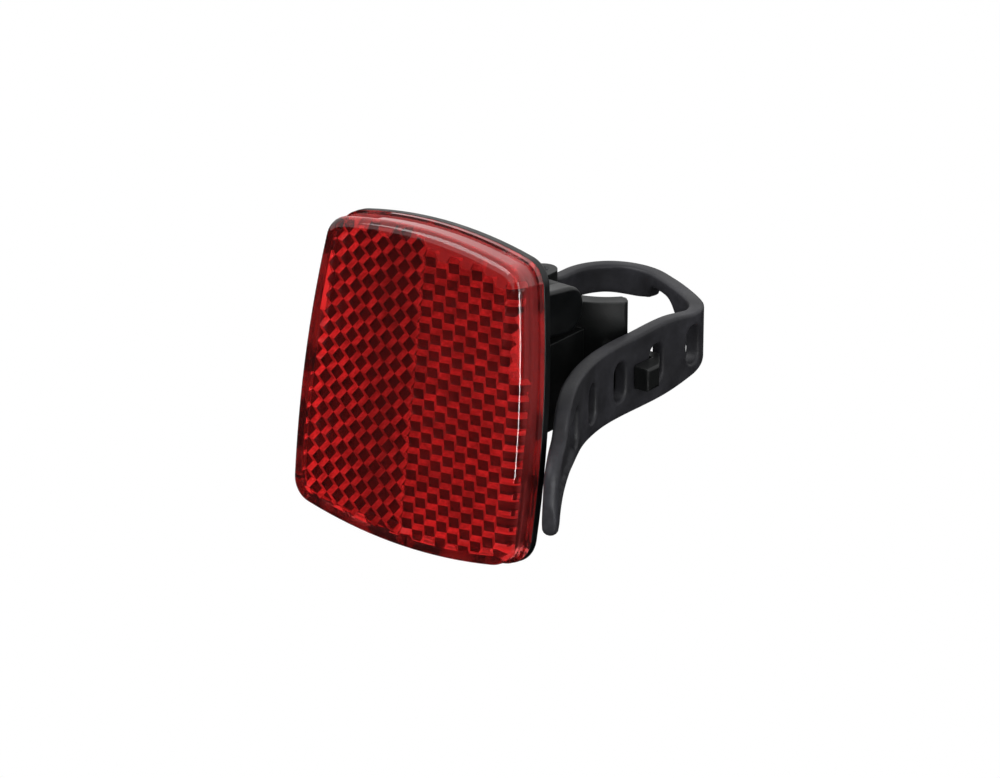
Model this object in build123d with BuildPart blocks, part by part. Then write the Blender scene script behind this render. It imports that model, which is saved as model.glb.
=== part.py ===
"""Bicycle rear reflector on a strapped seatpost bracket.

Lengths are millimetres. The origin lies on the seatpost's axis, near the strap's mid height,
+Z runs up the seatpost, and the reflector looks towards -Y with +X on the strap's hook side.
"""
import os
from math import cos, degrees, hypot, pi, radians, sin, sqrt

from build123d import *

os.makedirs("parts", exist_ok=True)

# Seatpost that the bracket is made for
post_radius = 13.6
post_gap = 0.05

# Tilt hinge between the bracket and the reflector, and the lean in which it stands
pivot_y = -23.2
pivot_z = 13.8
lean = 8.5
arm_reach = 35.5
arm_rise = 11.7

# Lens: a pan of red acrylic, open at the back
lens_top_half = 22.8
lens_bottom_half = 26.0
lens_side_half = 26.1
lens_corner_high = 27.8
lens_corner_low = -27.4
lens_crown_high = 30.6
lens_crown_low = -30.5
lens_corner_radius = 5.0
lens_depth = 6.6
lens_wall = 1.8
lens_window = 2.2
lens_edge_round = 1.8
flange_width = 0.5
flange_thickness = 1.2

# Cube corner prisms behind the window, as hexagons with flats above and below
prism_pitch = 3.17
prism_margin = 0.15
prism_cap = 2.0
prism_root = 0.15
prism_bite = 0.4
prism_seam = 0.05

# Housing behind the lens, with the arm that carries it
housing_lip = 0.1
housing_plate = 2.0
housing_edge_round = 0.6
rim_gap = 0.1
rim_width = 1.2
rim_height = 1.6
arm_half_width = 9.0
knuckle_radius = 4.7
fork_clearance = 7.0
arm_edge_round = 0.8
arm_wall = 2.2
rib_thickness = 1.6
rib_height = 2.4
rib_inset = 6.0

# Ear of the bracket between the fork's cheeks, and the screw through them
ear_half_width = 5.6
ear_gap = 0.06
screw_radius = 2.0
screw_gap = 0.05
screw_blind = 1.0
screw_head_radius = 3.6
screw_head_height = 2.2
screw_head_round = 0.9
drive_across = 2.5
drive_depth = 1.3
washer_radius = 4.1
washer_thickness = 0.8

# Rubber pad in the saddle
pad_thickness = 2.25
pad_near_span = 51.5
pad_far_span = 60.0
pad_margin = 0.6
pad_pip_radius = 1.5
pad_pip_length = 1.9
pad_pip_spacing = 14.0
pip_gap = 0.05
groove_width = 1.2
groove_depth = 0.5
groove_pitch = 4.8
groove_count = 5

# Bracket base
saddle_wall = 2.7
saddle_near_span = 51.0
saddle_far_span = 57.0
saddle_low_z = -9.8
saddle_high_z = 13.4
body_half_width = 8.0
body_front_y = -36.0
body_top_z = 8.0
body_wall = 2.2
body_nose = 5.0
base_edge_round = 0.8
root_turn = 5.0

# Strap, as a band that stands on edge
strap_thickness = 3.0
strap_near_x = 17.5
strap_far_x = -17.2
near_bend_y = 3.0
near_bend_radius = 9.0
near_bend_turn = 53.0
back_radius = 108.0
back_turn = 9.7
flare_start_y = -16.0
flare_radius = 55.0
flare_turn = 27.0
tail_length = 21.0

# Heights of the strap's edges
paddle_low_z = -0.7
paddle_high_z = 5.2
neck_low_z = 2.3
neck_start_x = -3.5
neck_end_x = 6.0
bend_low_z = -5.3
bend_high_z = 7.0
band_low_z = -6.6
band_high_z = 8.5
flare_low_z = -5.6
flare_high_z = 9.0

# Pull tab, as distances from the tip and heights: its edges, and the grip sunk in its outer face
tab_low = ((14.7, -5.5), (10.0, -5.8), (5.8, -7.3), (2.6, -10.4))
tab_tip = (0.6, -12.3)
tab_high = ((0.0, -9.0), (1.4, -1.4), (4.2, 1.2), (8.1, 2.9), (11.2, 7.0), (13.2, 8.6))
grip_outline = ((13.8, 3.8), (16.9, -1.0), (15.0, -3.0), (11.2, -4.7), (6.5, -6.0), (2.6, -9.2),
                (1.4, -8.0), (2.4, -2.4), (4.6, 0.2), (8.6, 1.6))
grip_depth = 0.8

# Slots of the strap
hole_first_y = 3.2
hole_pitch = 11.8
hole_count = 5
hole_width = 4.2
hole_height = 7.9
hole_mid_z = 0.9

# Anchor of the strap's far end
anchor_y = 2.0
eye_radius = 3.0
anchor_pin_radius = 1.25
anchor_gap = 0.05
anchor_ear_radius = 2.9
anchor_ear_thickness = 2.6
anchor_ear_gap = 0.25

# Hook on the near side, through the strap's second hole
hook_height = 4.6
hook_drop = 0.3
hook_shank = 2.2
hook_reach = 3.3
hook_gap = 0.3
hook_lip = 5.6
hook_play = 0.1
hook_root_x = 13.3
hook_round = 0.6


def head_plane(depth):
    """Plane across the reflector, this far behind the middle of the lens's front face."""
    turn = radians(lean)
    reach = arm_reach - depth
    origin_y = pivot_y - reach * cos(turn) - arm_rise * sin(turn)
    origin_z = pivot_z + reach * sin(turn) - arm_rise * cos(turn)
    return Plane(origin=(0, origin_y, origin_z), x_dir=(1, 0, 0), z_dir=(0, -cos(turn), sin(turn)))


def arm_plane(x):
    """Plane along the arm at this x: its origin is the hinge, its x runs to the rear."""
    turn = radians(lean)
    return Plane(origin=(x, pivot_y, pivot_z), x_dir=(0, cos(turn), -sin(turn)), z_dir=(1, 0, 0))


def circle_centre(a, b, c):
    """Centre of the circle through three points of a sketch."""
    twice = 2 * (a[0] * (b[1] - c[1]) + b[0] * (c[1] - a[1]) + c[0] * (a[1] - b[1]))
    aa, bb, cc = (hypot(*point) ** 2 for point in (a, b, c))
    x = (aa * (b[1] - c[1]) + bb * (c[1] - a[1]) + cc * (a[1] - b[1])) / twice
    z = (aa * (c[0] - b[0]) + bb * (a[0] - c[0]) + cc * (b[0] - a[0])) / twice
    return x, z


def moved_corner(corner, centres, grow):
    """Corner of two arcs after both have moved outwards by the same margin."""
    normals = []
    for centre in centres:
        away = (corner[0] - centre[0], corner[1] - centre[1])
        normals.append((away[0] / hypot(*away), away[1] / hypot(*away)))
    (ax, az), (bx, bz) = normals
    share = grow / (1 + ax * bx + az * bz)
    return corner[0] + share * (ax + bx), corner[1] + share * (az + bz)


def lens_outline(depth, grow=0.0):
    """Barrel outline of the reflector at this depth, grown or shrunk by an even margin."""
    high = (lens_top_half, lens_corner_high)
    low = (lens_bottom_half, lens_corner_low)
    side = circle_centre(high, (lens_side_half, 0), low)
    crown = circle_centre(high, (0, lens_crown_high), (-high[0], high[1]))
    foot = circle_centre(low, (0, lens_crown_low), (-low[0], low[1]))
    high_x, high_z = moved_corner(high, (crown, side), grow)
    low_x, low_z = moved_corner(low, (foot, side), grow)
    with BuildSketch(head_plane(depth)) as outline:
        with BuildLine():
            ThreePointArc((-high_x, high_z), (0, lens_crown_high + grow), (high_x, high_z))
            ThreePointArc((high_x, high_z), (lens_side_half + grow, 0), (low_x, low_z))
            ThreePointArc((low_x, low_z), (0, lens_crown_low - grow), (-low_x, low_z))
            ThreePointArc((-low_x, low_z), (-lens_side_half - grow, 0), (-high_x, high_z))
        make_face()
        fillet(outline.vertices(), lens_corner_radius + grow)
    return outline.sketch


def prism_field(side):
    """Half of the prisms as one closed solid: side 1 is the right half, -1 the left one.

    Each cell is a cube seen along its body diagonal. Its corners lie in turn at the
    cube's first and second step, and the tip in its middle one step behind the second.
    The left cells are mirror images, half a pitch higher, so that the halves interlock.
    The outermost cells run into the side wall, which cuts them off as the mould does.
    Above the right half the window stays plain over a strip.
    """
    step = prism_pitch / sqrt(6)
    corner = prism_pitch / sqrt(3)
    column = prism_pitch * sqrt(3) / 2
    limit = lens_outline(0, -prism_margin).faces()[0]
    caps = (0, prism_cap) if side > 0 else (0,)
    front = head_plane(0)
    root = lens_window + prism_root
    floor = lens_window - prism_bite

    def place(x, z, depth):
        return front.from_local_coords((side * x, z, -depth))

    cells = []
    for i in range(int(lens_side_half / column) + 1):
        rows = int(lens_crown_high / prism_pitch) + 1
        for j in range(-rows, rows):
            x = prism_seam + (i + 0.5) * column
            z = (j + ((i + (side < 0)) % 2) / 2) * prism_pitch
            ring = [(x + corner * cos(k * pi / 3), z + corner * sin(k * pi / 3)) for k in range(6)]
            reach = [place(px, pz + cap, 0) for px, pz in ring for cap in caps]
            if all(limit.is_inside(point) for point in reach):
                cells.append((x, z, ring))
    faces = []
    for x, z, ring in cells:
        depths = [root, root + step] * 3
        rim = [place(px, pz, depth) for (px, pz), depth in zip(ring, depths)]
        base = [place(px, pz, floor) for px, pz in ring]
        tip = place(x, z, root + 2 * step)
        faces.append(Face(Wire.make_polygon(base)))
        for k in (1, 3, 5):
            after, last = (k + 1) % 6, (k + 2) % 6
            faces.append(Face(Wire.make_polygon([tip, rim[k], rim[after], rim[last]])))
        for k in range(6):
            turn = (k + 0.5) * pi / 3
            beside = (x + prism_pitch * cos(turn), z + prism_pitch * sin(turn))
            if not any(hypot(cx - beside[0], cz - beside[1]) < step for cx, cz, _ in cells):
                after = (k + 1) % 6
                faces.append(Face(Wire.make_polygon([rim[k], rim[after], base[after], base[k]])))
    return Solid(Shell(faces))


def lens_part():
    """Lens pan with its flange, rounded front edge and prisms."""
    prisms = [prism_field(side) for side in (1, -1)]
    facing = Axis((0, 0, 0), tuple(head_plane(0).z_dir))
    with BuildPart() as lens:
        extrude(lens_outline(0), amount=-lens_depth)
        fillet(lens.faces().sort_by(facing)[-1].edges(), lens_edge_round)
        extrude(lens_outline(lens_depth - flange_thickness, flange_width), amount=-flange_thickness)
        hollow = lens_outline(lens_window, -lens_wall)
        extrude(hollow, amount=lens_window - lens_depth, mode=Mode.SUBTRACT)
        add(prisms)
    return lens


def housing_part():
    """Back tray of the reflector, one moulding with the forked arm that tilts on the bracket."""
    rearward = Axis((0, 0, 0), tuple(-head_plane(0).z_dir))
    back = lens_depth + housing_plate
    arm_start = back - arm_reach
    with BuildPart() as reflector_housing:
        extrude(lens_outline(lens_depth, flange_width + housing_lip), amount=-housing_plate)
        fillet(reflector_housing.faces().sort_by(rearward)[-1].edges(), housing_edge_round)
        rim = -(lens_wall + rim_gap)
        extrude(lens_outline(lens_depth, rim), amount=rim_height)
        extrude(lens_outline(lens_depth, rim - rim_width), amount=rim_height, mode=Mode.SUBTRACT)
        with BuildSketch(head_plane(back)):
            across = 2 * (lens_side_half - rib_inset)
            with Locations((0, arm_rise - knuckle_radius), (0, -arm_rise)):
                Rectangle(across, rib_thickness)
            with Locations((0, (lens_crown_high + lens_crown_low) / 2)):
                Rectangle(rib_thickness, lens_crown_high - lens_crown_low - 2 * rib_inset)
        extrude(amount=-rib_height)
        with BuildSketch(arm_plane(-arm_half_width)):
            Circle(knuckle_radius)
            root = arm_start - housing_plate / 2
            with Locations((root / 2, 0)):
                Rectangle(-root, 2 * knuckle_radius)
        extrude(amount=2 * arm_half_width)
        sides = reflector_housing.edges().filter_by(GeomType.CIRCLE)
        knuckle = sides.filter_by(lambda edge: abs(edge.radius - knuckle_radius) < 1e-6)
        fillet(knuckle, arm_edge_round)
        slot = ear_half_width + ear_gap
        with BuildSketch(arm_plane(-slot)):
            with Locations((0, 0)):
                Rectangle(2 * fork_clearance, 4 * knuckle_radius)
        extrude(amount=2 * slot, mode=Mode.SUBTRACT)
        pocket_end = -fork_clearance - arm_wall
        pocket_half = arm_half_width - arm_wall - rib_thickness / 2
        for side in (1, -1):
            inner_wall = side * rib_thickness / 2
            with BuildSketch(arm_plane(inner_wall)):
                with Locations(((arm_start + pocket_end) / 2, -arm_wall)):
                    Rectangle(pocket_end - arm_start, 2 * knuckle_radius)
            extrude(amount=side * pocket_half, mode=Mode.SUBTRACT)
        with BuildSketch(arm_plane(-arm_half_width)):
            Circle(screw_radius + screw_gap)
        extrude(amount=2 * arm_half_width - screw_blind, mode=Mode.SUBTRACT)
    return reflector_housing


def tilt_screw_part():
    """Pan head screw of the tilt hinge, put in from the far side."""
    start = -(arm_half_width + washer_thickness)
    with BuildPart() as tilt_screw:
        with BuildSketch(arm_plane(start - screw_head_height)):
            Circle(screw_head_radius)
        extrude(amount=screw_head_height)
        fillet(tilt_screw.faces().sort_by(Axis.X)[0].edges(), screw_head_round)
        with BuildSketch(arm_plane(start)):
            Circle(screw_radius)
        extrude(amount=2 * arm_half_width + washer_thickness - screw_blind - screw_gap)
        with BuildSketch(arm_plane(start - screw_head_height)):
            RegularPolygon(drive_across / sqrt(3), 6)
        extrude(amount=drive_depth, mode=Mode.SUBTRACT)
    return tilt_screw


def tilt_washer_part():
    """Flat washer under the head of the tilt screw."""
    with BuildPart() as tilt_washer:
        with BuildSketch(arm_plane(-arm_half_width - washer_thickness)):
            Circle(washer_radius)
            Circle(screw_radius + screw_gap, mode=Mode.SUBTRACT)
        extrude(amount=washer_thickness)
    return tilt_washer


def on_circle(radius, angle):
    """Point on a circle round the seatpost, angle in degrees from -Y towards +X."""
    return (radius * sin(radians(angle)), -radius * cos(radians(angle)))


def ring_sector(inner, outer, far_span, near_span, plane=Plane.XY):
    """Sketch of a ring's sector round -Y, with its span in degrees to the far and the near side."""
    with BuildSketch(plane) as sector:
        with BuildLine():
            far_out, near_out = on_circle(outer, -far_span), on_circle(outer, near_span)
            far_in, near_in = on_circle(inner, -far_span), on_circle(inner, near_span)
            ThreePointArc(far_out, (0, -outer), near_out)
            Line(near_out, near_in)
            ThreePointArc(near_in, (0, -inner), far_in)
            Line(far_in, far_out)
        make_face()
    return sector.sketch


pad_inner = post_radius + post_gap
pad_outer = pad_inner + pad_thickness
saddle_outer = pad_outer + saddle_wall
saddle_mid_z = (saddle_low_z + saddle_high_z) / 2
saddle_height = saddle_high_z - saddle_low_z
pad_height = saddle_height - 2 * pad_margin


def pip_places():
    """The two places on the saddle's middle where the pad's pips sit."""
    return [(0, saddle_mid_z + side * pad_pip_spacing / 2) for side in (1, -1)]


def saddle_pad_part():
    """Rubber pad that lines the saddle, with grooves across it and two pips that hold it."""
    low = Plane.XY.offset(saddle_mid_z - pad_height / 2)
    with BuildPart() as saddle_pad:
        extrude(ring_sector(pad_inner, pad_outer, pad_far_span, pad_near_span, low), amount=pad_height)
        with BuildSketch(Plane.XZ.offset(pad_outer - pad_thickness / 2)):
            with Locations(pip_places()):
                Circle(pad_pip_radius)
        extrude(amount=pad_pip_length + pad_thickness / 2)
        for k in range(groove_count):
            height = saddle_mid_z + (k - (groove_count - 1) / 2) * groove_pitch - groove_width / 2
            start = Plane.XY.offset(height)
            spans = (pad_far_span + groove_width, pad_near_span + groove_width)
            groove = ring_sector(pad_inner - groove_depth, pad_inner + groove_depth, *spans, start)
            extrude(groove, amount=groove_width, mode=Mode.SUBTRACT)
    return saddle_pad


strap_inner_near = strap_near_x - strap_thickness / 2
hook_mid_z = hole_mid_z - hook_drop
hook_over = max(hook_drop + hook_height / 2 - (hole_height - hole_width) / 2, 0)
hook_bearing = sqrt((hole_width / 2) ** 2 - hook_over**2)
hook_front_y = hole_first_y - hole_pitch - hook_bearing + hook_play
hook_outer_x = strap_near_x + strap_thickness / 2 + hook_gap
anchor_low_z = paddle_low_z - anchor_ear_gap - anchor_ear_thickness
anchor_high_z = paddle_high_z + anchor_ear_gap + anchor_ear_thickness


def bracket_base_part():
    """Bracket base: saddle, hollow body, hinge ear, strap hook and anchor ears in one moulding."""
    floor = Plane.XY.offset(saddle_low_z)
    with BuildPart() as bracket_base:
        extrude(ring_sector(pad_outer, saddle_outer, saddle_far_span, saddle_near_span, floor),
                amount=saddle_height)
        fillet(bracket_base.edges().filter_by(Axis.Z), base_edge_round)
        rear_y = -saddle_outer + saddle_wall / 2
        with BuildSketch(Plane.YZ.offset(-body_half_width)):
            with BuildLine():
                Polyline(
                    (rear_y, saddle_low_z),
                    (rear_y, body_top_z),
                    (body_front_y + body_nose, body_top_z),
                    (body_front_y, body_top_z - body_nose),
                    (body_front_y, saddle_low_z + body_nose),
                    (body_front_y + body_nose, saddle_low_z),
                    close=True,
                )
            make_face()
        extrude(amount=2 * body_half_width)
        fillet(bracket_base.edges().filter_by(Axis.Z).group_by(Axis.Y)[0], base_edge_round)
        with BuildSketch(Plane.YZ.offset(-ear_half_width)):
            with Locations((pivot_y, pivot_z)):
                Circle(knuckle_radius)
            with Locations((pivot_y, (pivot_z + body_top_z - body_wall) / 2)):
                Rectangle(2 * knuckle_radius, pivot_z - body_top_z + body_wall)
        extrude(amount=2 * ear_half_width)
        pocket_rear = -saddle_outer - body_wall
        pocket_front = body_front_y + body_wall
        pocket_width = body_half_width - 1.5 * body_wall
        with BuildSketch(floor):
            for side in (1, -1):
                with Locations((side * (pocket_width + body_wall) / 2, (pocket_rear + pocket_front) / 2)):
                    Rectangle(pocket_width, pocket_rear - pocket_front)
        extrude(amount=body_top_z - body_wall - body_nose - saddle_low_z, mode=Mode.SUBTRACT)
        with BuildSketch(Plane.YZ.offset(-ear_half_width)):
            with Locations((pivot_y, pivot_z)):
                Circle(screw_radius + screw_gap)
        extrude(amount=2 * ear_half_width, mode=Mode.SUBTRACT)
        with BuildSketch(Plane.XZ.offset(pad_outer - pad_thickness / 2)):
            with Locations(pip_places()):
                Circle(pad_pip_radius + pip_gap)
        extrude(amount=pad_pip_length + pad_thickness / 2 + pip_gap, mode=Mode.SUBTRACT)
        with BuildSketch(Plane.XY.offset(hook_mid_z - hook_height / 2)):
            with BuildLine():
                Polyline(
                    on_circle(saddle_outer, saddle_near_span - root_turn),
                    on_circle(pad_outer + saddle_wall / 2, saddle_near_span - root_turn),
                    (hook_root_x, hook_front_y + hook_shank),
                    (hook_outer_x, hook_front_y + hook_shank),
                    (hook_outer_x + hook_reach, hook_front_y - hook_shank),
                    (hook_outer_x + hook_reach, hook_front_y - hook_lip),
                    (hook_outer_x, hook_front_y - hook_lip),
                    (hook_outer_x, hook_front_y),
                    (strap_inner_near - hook_gap, hook_front_y),
                    close=True,
                )
            make_face()
        extrude(amount=hook_height)
        hook_end = hook_outer_x + hook_reach
        head = bracket_base.edges().filter_by_position(Axis.X, hook_end - hook_round, hook_end)
        fillet(head, hook_round)
        with BuildSketch(Plane.XY.offset(anchor_low_z)):
            wing = on_circle(saddle_outer, -saddle_far_span)
            ear_outer = strap_far_x - anchor_ear_radius
            ear_inner = strap_far_x + anchor_ear_radius
            with BuildLine():
                Polyline(
                    on_circle(saddle_outer, -saddle_far_span + root_turn),
                    (ear_outer, wing[1] + saddle_wall / 2),
                    (ear_outer, anchor_y),
                    (ear_inner, anchor_y),
                    (ear_inner, wing[1] + saddle_wall),
                    on_circle(pad_outer + saddle_wall / 2, -saddle_far_span + base_edge_round),
                    close=True,
                )
            make_face()
            with Locations((strap_far_x, anchor_y)):
                Circle(anchor_ear_radius)
        extrude(amount=anchor_high_z - anchor_low_z)
        with BuildSketch(Plane.XY.offset(paddle_low_z - anchor_ear_gap)):
            with Locations((strap_far_x, anchor_y)):
                Rectangle(4 * eye_radius, 2 * (eye_radius + hook_gap))
        extrude(amount=paddle_high_z - paddle_low_z + 2 * anchor_ear_gap, mode=Mode.SUBTRACT)
        with BuildSketch(Plane.XY.offset(anchor_low_z)):
            with Locations((strap_far_x, anchor_y)):
                Circle(anchor_pin_radius)
        extrude(amount=anchor_high_z - anchor_low_z, mode=Mode.SUBTRACT)
    return bracket_base


def anchor_pin_part():
    """Steel pin that holds the strap's eye between the anchor ears."""
    with BuildPart() as anchor_pin:
        with BuildSketch(Plane.XY.offset(anchor_low_z)):
            with Locations((strap_far_x, anchor_y)):
                Circle(anchor_pin_radius)
        extrude(amount=anchor_high_z - anchor_low_z)
    return anchor_pin


def strap_point(distance):
    """Place and outward direction, in degrees, of the strap's middle line this far from the near bend.

    The distance grows along the strap towards the tail, and is negative in the near bend.
    """
    if distance < 0:
        turn = -distance / near_bend_radius
        x = strap_near_x - near_bend_radius * (1 - cos(turn))
        return (x, near_bend_y + near_bend_radius * sin(turn)), degrees(turn)
    straight = near_bend_y - flare_start_y
    if distance < straight:
        return (strap_near_x, near_bend_y - distance), 0.0
    turn = min((distance - straight) / flare_radius, radians(flare_turn))
    rest = distance - straight - turn * flare_radius
    x = strap_near_x + flare_radius * (1 - cos(turn)) + rest * sin(turn)
    return (x, flare_start_y - flare_radius * sin(turn) - rest * cos(turn)), degrees(turn)


flare_end_distance = near_bend_y - flare_start_y + flare_radius * radians(flare_turn)
flare_end = strap_point(flare_end_distance)[0]
strap_tip = strap_point(flare_end_distance + tail_length)[0]


def strap_line():
    """Middle line of the strap from above, from the anchor pin round the post to the tail's tip."""
    turned = 90 + near_bend_turn
    straightened = turned + back_turn

    def arc(point, radius, start_heading, end_heading):
        headings = (radians(start_heading), radians((start_heading + end_heading) / 2), radians(end_heading))
        first = headings[0]
        points = [(point[0] + radius * (sin(h) - sin(first)), point[1] - radius * (cos(h) - cos(first)))
                  for h in headings]
        ThreePointArc(*points)
        return points[-1]

    with BuildLine() as path:
        bent = arc((strap_near_x, near_bend_y), near_bend_radius, 90, turned)
        crossed = arc(bent, back_radius, turned, straightened)
        far_radius = (crossed[0] - strap_far_x) / (1 + sin(radians(straightened)))
        rounded = arc(crossed, far_radius, straightened, 270)
        Line(rounded, (strap_far_x, anchor_y))
        Line((strap_near_x, near_bend_y), (strap_near_x, flare_start_y))
        arc((strap_near_x, flare_start_y), flare_radius, 270, 270 + flare_turn)
        Line(flare_end, strap_tip)
    return path.line


def strap_envelope():
    """Room between the strap's lower and upper edges, seen along X on the near side and along Y behind."""
    split_y = near_bend_y + strap_thickness / 2
    straight_y = near_bend_y - 2 * strap_thickness
    reach = 2 * (strap_tip[0] - strap_far_x)
    tip_y = strap_tip[1]
    low_tab = [(tip_y + along, height) for along, height in tab_low]
    high_tab = [(tip_y + along, height) for along, height in tab_high]
    outer_x = strap_near_x + 2 * strap_thickness
    bend_x = strap_near_x - strap_thickness
    end_x = strap_far_x - 2 * eye_radius
    with BuildPart() as envelope:
        with BuildSketch(Plane.YZ):
            with BuildLine():
                low = Spline((split_y, bend_low_z), (straight_y, band_low_z), (flare_start_y, band_low_z),
                             (flare_end[1] + strap_thickness, flare_low_z), *low_tab)
                ThreePointArc(low @ 1, (tip_y + tab_tip[0], tab_tip[1]), high_tab[0])
                high = Spline(*high_tab, (flare_end[1], flare_high_z), (flare_start_y, band_high_z),
                              (straight_y, band_high_z), (split_y, bend_high_z))
                Line(high @ 1, low @ 0)
            make_face()
        extrude(amount=reach)
        with BuildSketch(Plane.XZ.offset(-split_y)):
            with BuildLine():
                top = Spline((outer_x, bend_high_z), (strap_near_x, bend_high_z), (bend_x, bend_high_z),
                             (neck_end_x, (bend_high_z + paddle_high_z) / 2), (neck_start_x, paddle_high_z))
                end = Polyline(top @ 1, (end_x, paddle_high_z), (end_x, paddle_low_z),
                               (neck_start_x, paddle_low_z), (neck_start_x, neck_low_z),
                               (neck_end_x, neck_low_z))
                under = Spline(end @ 1, (bend_x, (3 * bend_low_z + neck_low_z) / 4),
                               (strap_near_x, bend_low_z), (outer_x, bend_low_z))
                Line(under @ 1, top @ 0)
            make_face()
        extrude(amount=-reach)
        with BuildSketch(Plane.XY.offset(paddle_low_z)):
            with Locations((strap_far_x, 0)):
                Rectangle(4 * eye_radius, 4 * split_y)
        extrude(amount=paddle_high_z - paddle_low_z)
    return envelope.part


def strap_part():
    """Silicone strap: eye, low paddle, neck, slotted band and a pull tab with a sunk grip."""
    line = strap_line()
    envelope = strap_envelope()
    floor = Plane.XY.offset(2 * tab_tip[1])
    tall = -4 * tab_tip[1]
    with BuildPart() as strap:
        with BuildSketch(floor):
            trace(line, strap_thickness)
            with Locations((strap_far_x, anchor_y)):
                Circle(eye_radius)
        extrude(amount=tall)
        add(envelope, mode=Mode.INTERSECT)
        with BuildSketch(floor):
            with Locations((strap_far_x, anchor_y)):
                Circle(anchor_pin_radius + anchor_gap)
        extrude(amount=tall, mode=Mode.SUBTRACT)
        for k in range(hole_count):
            (x, y), turn = strap_point(near_bend_y - hole_first_y + k * hole_pitch)
            out = (cos(radians(turn)), sin(radians(turn)), 0)
            with BuildSketch(Plane(origin=(x, y, hole_mid_z), x_dir=(0, 0, 1), z_dir=out)):
                SlotOverall(hole_height, hole_width)
            extrude(amount=strap_thickness, both=True, mode=Mode.SUBTRACT)
        turn = radians(flare_turn)
        out = (cos(turn), sin(turn), 0)
        deep = strap_thickness / 2 - grip_depth
        origin = (strap_tip[0] + deep * out[0], strap_tip[1] + deep * out[1], 0)
        with BuildSketch(Plane(origin=origin, x_dir=(-sin(turn), cos(turn), 0), z_dir=out)):
            with BuildLine():
                Polyline(*grip_outline, close=True)
            make_face()
        extrude(amount=2 * grip_depth, mode=Mode.SUBTRACT)
    return strap


makers = {
    "lens": lens_part,
    "reflector_housing": housing_part,
    "tilt_screw": tilt_screw_part,
    "tilt_washer": tilt_washer_part,
    "saddle_pad": saddle_pad_part,
    "bracket_base": bracket_base_part,
    "anchor_pin": anchor_pin_part,
    "strap": strap_part,
}
for name, make in makers.items():
    piece = make()
    piece.part.label = name
    export_step(piece.part, f"parts/{name}.step")
    solids = piece.part.solids()
    print(name, len(solids), "solid(s)", round(sum(solid.volume for solid in solids), 1), "mm3")
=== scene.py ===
# %% [markdown]
# # A bicycle's rear reflector, dressed for its picture
# The solids of this reflector come from a CAD model. This script gives them their finishes,
# replaces the strap and the pad by finer surfaces, and sets up the studio.
# Everything is in metres, in the CAD model's own frame: the origin lies on the seatpost's axis,
# +Z runs up the seatpost and the lens looks towards -Y.

from math import cos, pi, radians, sin, sqrt

import bpy
import numpy as np
from mathutils import Matrix, Vector
from mathutils.geometry import delaunay_2d_cdt


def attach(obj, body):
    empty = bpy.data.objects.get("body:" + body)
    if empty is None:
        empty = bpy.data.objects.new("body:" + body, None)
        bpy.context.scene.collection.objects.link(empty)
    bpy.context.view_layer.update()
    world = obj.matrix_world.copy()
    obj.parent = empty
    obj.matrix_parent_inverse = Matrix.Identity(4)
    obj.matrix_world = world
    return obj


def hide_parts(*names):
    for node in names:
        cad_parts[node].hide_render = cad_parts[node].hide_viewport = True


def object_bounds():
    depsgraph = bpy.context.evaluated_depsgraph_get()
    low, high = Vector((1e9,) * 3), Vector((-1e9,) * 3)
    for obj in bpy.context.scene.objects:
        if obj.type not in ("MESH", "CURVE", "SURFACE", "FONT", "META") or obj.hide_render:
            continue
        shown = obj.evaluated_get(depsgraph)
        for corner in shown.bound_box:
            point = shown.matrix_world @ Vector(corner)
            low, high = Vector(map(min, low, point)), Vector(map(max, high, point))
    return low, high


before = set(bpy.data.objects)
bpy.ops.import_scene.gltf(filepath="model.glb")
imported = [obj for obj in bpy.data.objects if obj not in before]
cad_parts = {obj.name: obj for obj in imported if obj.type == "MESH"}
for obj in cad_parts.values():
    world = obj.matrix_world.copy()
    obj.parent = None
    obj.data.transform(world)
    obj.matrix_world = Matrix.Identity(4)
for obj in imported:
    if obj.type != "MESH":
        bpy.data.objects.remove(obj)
cad_low, cad_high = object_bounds()
MM = 0.001
print("nodes:", ", ".join(sorted(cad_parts)))
print("size in mm:", [round((h - l) / MM, 1) for l, h in zip(cad_low, cad_high)])

# %% [markdown]
# ## Where the photographer stood
# The camera looks at the middle of the lens from its right and from above. A long focal length
# keeps the outline almost parallel, as in the photograph. The place is given by two angles and a
# distance, because these are what one reads off a picture of a flat plate.

# %% Camera
LENS_MIDDLE = Vector((0.0, -0.060, 0.0075))
AZIMUTH, ELEVATION = radians(38.8), radians(23.3)
DISTANCE = 0.832
FOCAL_PIXELS = 4500.0
PICTURE_WIDTH = 1000
SENSOR_WIDTH = 36.0
LENS_MIDDLE_OFF_CENTRE = (92, 1)  # pixels left of and below the middle of the picture

toward = Vector((sin(AZIMUTH) * cos(ELEVATION), -cos(AZIMUTH) * cos(ELEVATION), sin(ELEVATION)))
right = Vector((cos(AZIMUTH), sin(AZIMUTH), 0.0))
up = toward.cross(right)
metres_per_pixel = DISTANCE / FOCAL_PIXELS
place = (LENS_MIDDLE + DISTANCE * toward
         + right * LENS_MIDDLE_OFF_CENTRE[0] * metres_per_pixel
         + up * LENS_MIDDLE_OFF_CENTRE[1] * metres_per_pixel)
camera = bpy.data.objects.new("camera", bpy.data.cameras.new("camera"))
camera.data.sensor_width = SENSOR_WIDTH
camera.data.lens = SENSOR_WIDTH * FOCAL_PIXELS / PICTURE_WIDTH
camera.data.clip_start, camera.data.clip_end = 0.05, 20.0
camera.matrix_world = Matrix.Translation(place) @ Matrix((right, up, toward)).transposed().to_4x4()
bpy.context.collection.objects.link(camera)
bpy.context.scene.camera = camera
print("camera at", [round(v, 3) for v in place], "with a", round(camera.data.lens), "mm lens")

# %% [markdown]
# ## Small tools for materials
# Colours are read as the hex codes of a paint chart and turned to the linear values that a
# renderer adds up. A material is a little graph, and one function adds a node to it: its kind,
# its settings, and what its sockets are linked to.

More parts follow.
